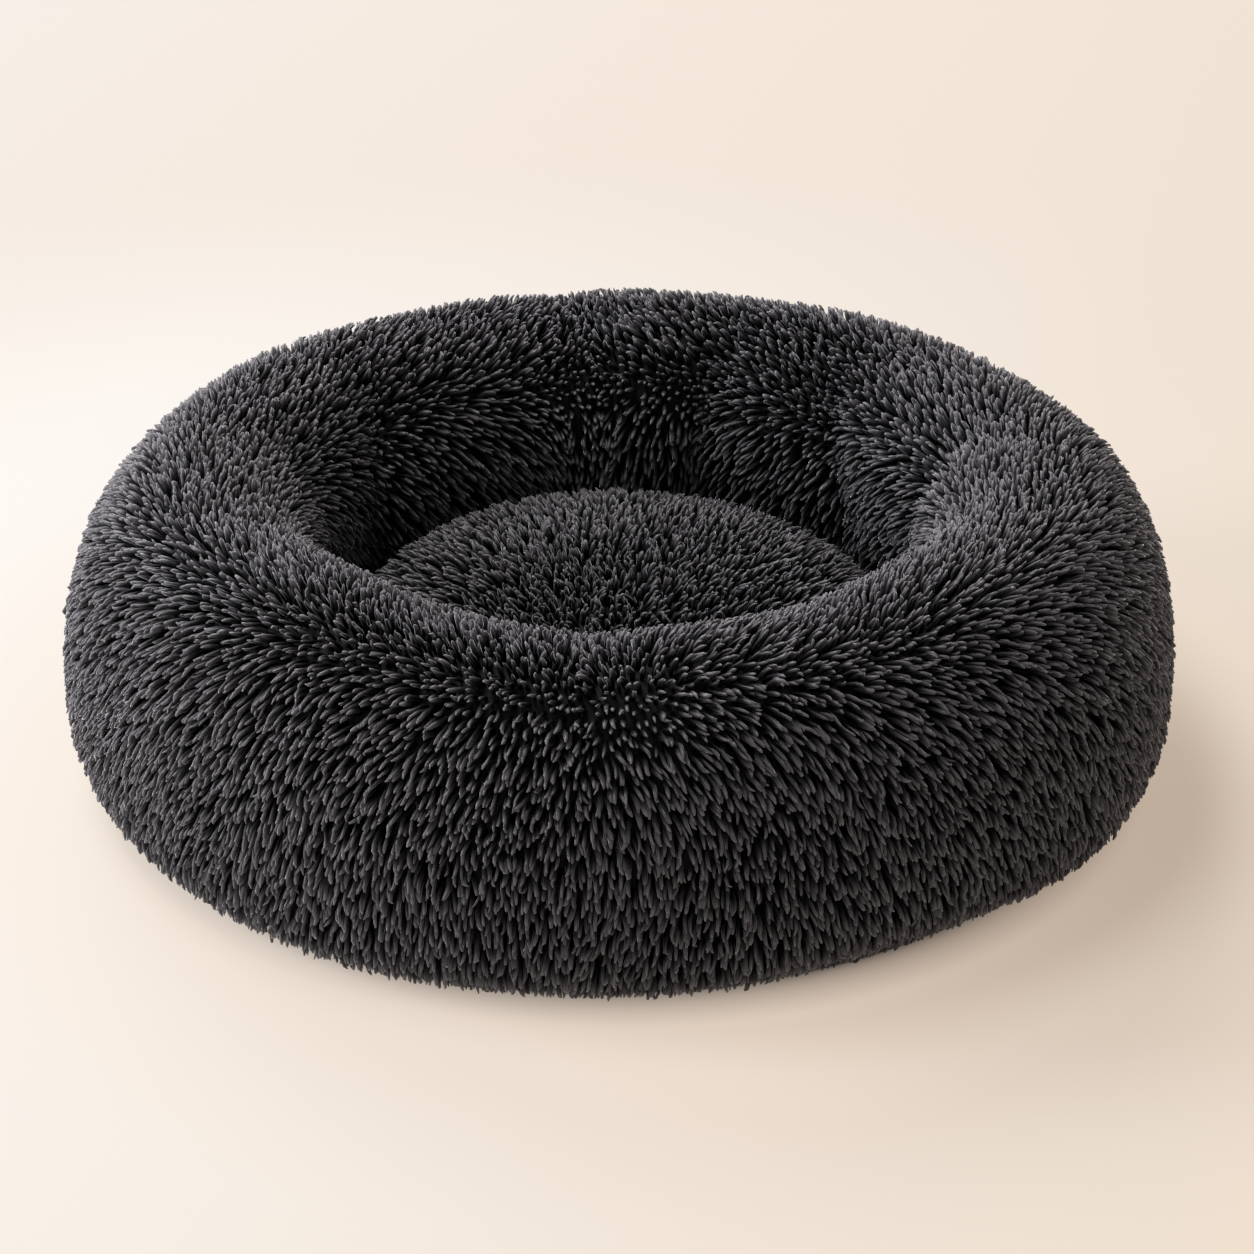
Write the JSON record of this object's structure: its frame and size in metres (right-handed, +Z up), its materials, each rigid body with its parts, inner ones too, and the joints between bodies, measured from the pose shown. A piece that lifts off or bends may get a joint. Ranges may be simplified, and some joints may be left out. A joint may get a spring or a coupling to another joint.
{
  "type": "pet bed",
  "caption": "Round plush nest bed: a stuffed ring with a zipped, washable cover round a loose crowned cushion, on a grip-dotted base.",
  "frame": {"origin": "middle of the underside, where the grip dots stand on the floor", "axes": "+Z up; -Y is the front, which faces the viewer; the zip runs under the back edge, at +Y"},
  "size_m": [0.5996, 0.5997, 0.1749],
  "materials": {
    "plush": "long-pile charcoal polyester plush, matt with a soft sheen on the tuft tips",
    "coated_fabric": "black woven polyester with moulded grip dots",
    "woven_lining": "plain dark woven polyester",
    "liner": "white non-woven fabric",
    "fibre": "loose white polyester fibre",
    "zip_tape": "black woven zip tape",
    "zip_teeth": "black moulded zip teeth",
    "zip_metal": "dark enamelled zinc"
  },
  "bodies": {
    "bed": {"rim_cover_right": "plush", "rim_cover_left": "plush", "rim_liner": "liner", "rim_filling": "fibre", "base_fabric": "coated_fabric", "base_wadding": "fibre", "nest_floor_lining": "woven_lining", "zip_tape_outer": "zip_tape", "zip_tape_inner": "zip_tape", "zip_teeth_outer": "zip_teeth", "zip_teeth_inner": "zip_teeth", "zip_stop_closed_end": "zip_metal", "zip_stop_open_end": "zip_metal"},
    "cushion": {"cushion_cover": "plush", "cushion_base": "woven_lining", "cushion_filling": "fibre"},
    "zip_slider": {"zip_slider": "zip_metal"},
    "zip_pull": {"zip_pull": "zip_metal"}
  },
  "joints": [
    {"name": "cushion_lift", "type": "slide", "parent": "bed", "child": "cushion", "axis": [0, 0, 1], "range_m": [0, 0.25]},
    {"name": "zip_slider_travel", "type": "hinge", "parent": "bed", "child": "zip_slider", "pos_m": [0, 0, 0.007], "axis": [0, 0, 1], "range_deg": [0, 135]},
    {"name": "zip_pull_flip", "type": "hinge", "parent": "zip_slider", "child": "zip_pull", "pos_m": [0.20991, 0.0864, 0.00325], "axis": [0.9247, 0.3806, 0], "range_deg": [-4.9, 165]}
  ]
}
